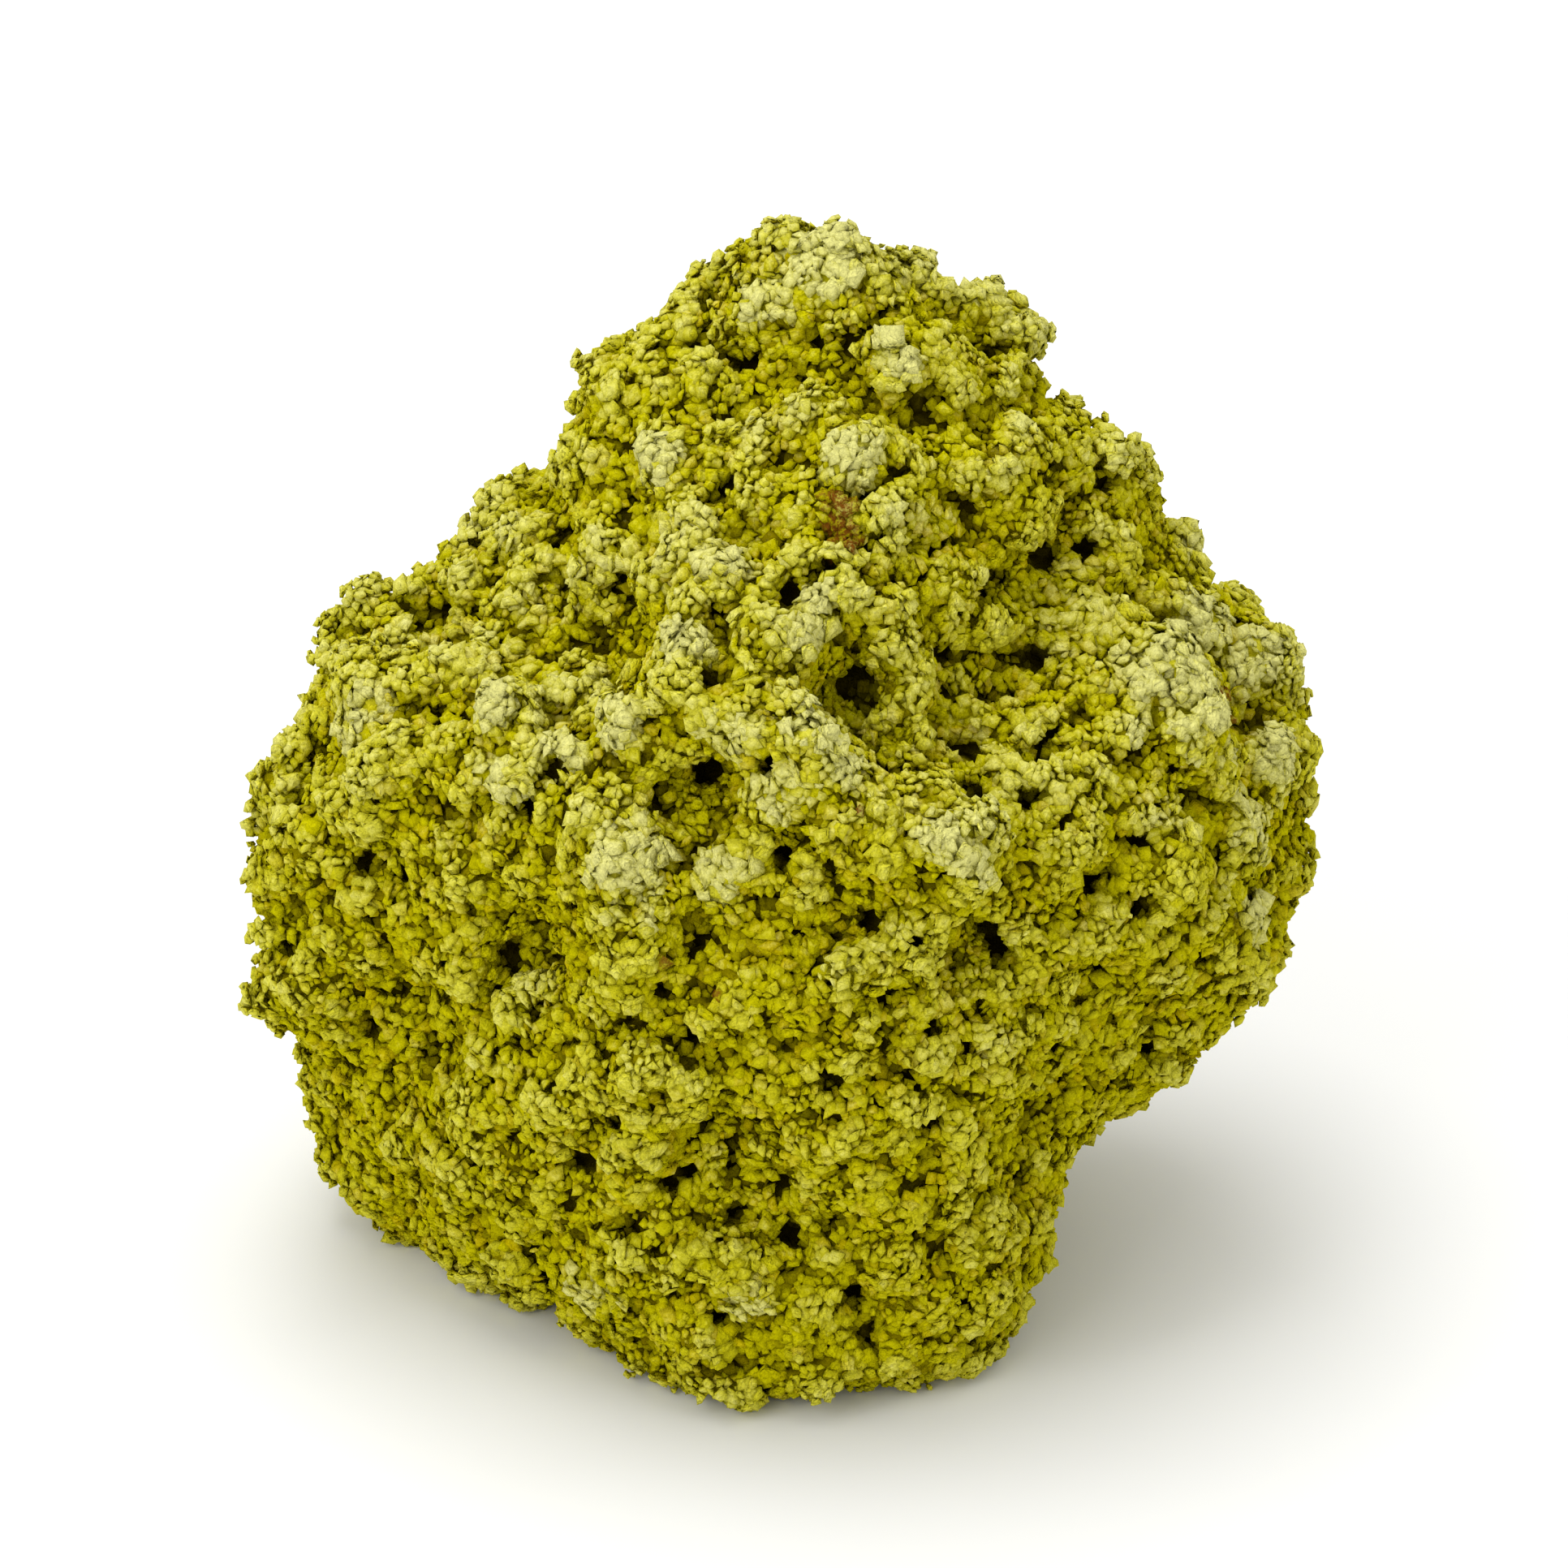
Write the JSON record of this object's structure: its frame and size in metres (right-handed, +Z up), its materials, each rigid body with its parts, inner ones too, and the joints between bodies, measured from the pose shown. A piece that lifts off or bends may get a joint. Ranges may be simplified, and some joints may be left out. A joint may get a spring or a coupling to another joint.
{
  "type": "nontronite specimen",
  "caption": "Free-standing hand specimen of nontronite: a spongy, lumpy yellow-green clay mass with a peaked top, a broad middle and a narrower foot.",
  "frame": {"origin": "on the surface it stands on, under the middle of its box", "axes": "+Z up to the peak, -Y towards the display side with the long upper slope, +X to the right of a viewer in front of it"},
  "size_m": [0.0636, 0.0488, 0.0635],
  "materials": {
    "nontronite": "matte, powdery yellow-green clay in small fused nodules, paler on worn crests"
  },
  "bodies": {
    "root": {"nontronite_mass": "nontronite"}
  },
  "joints": []
}
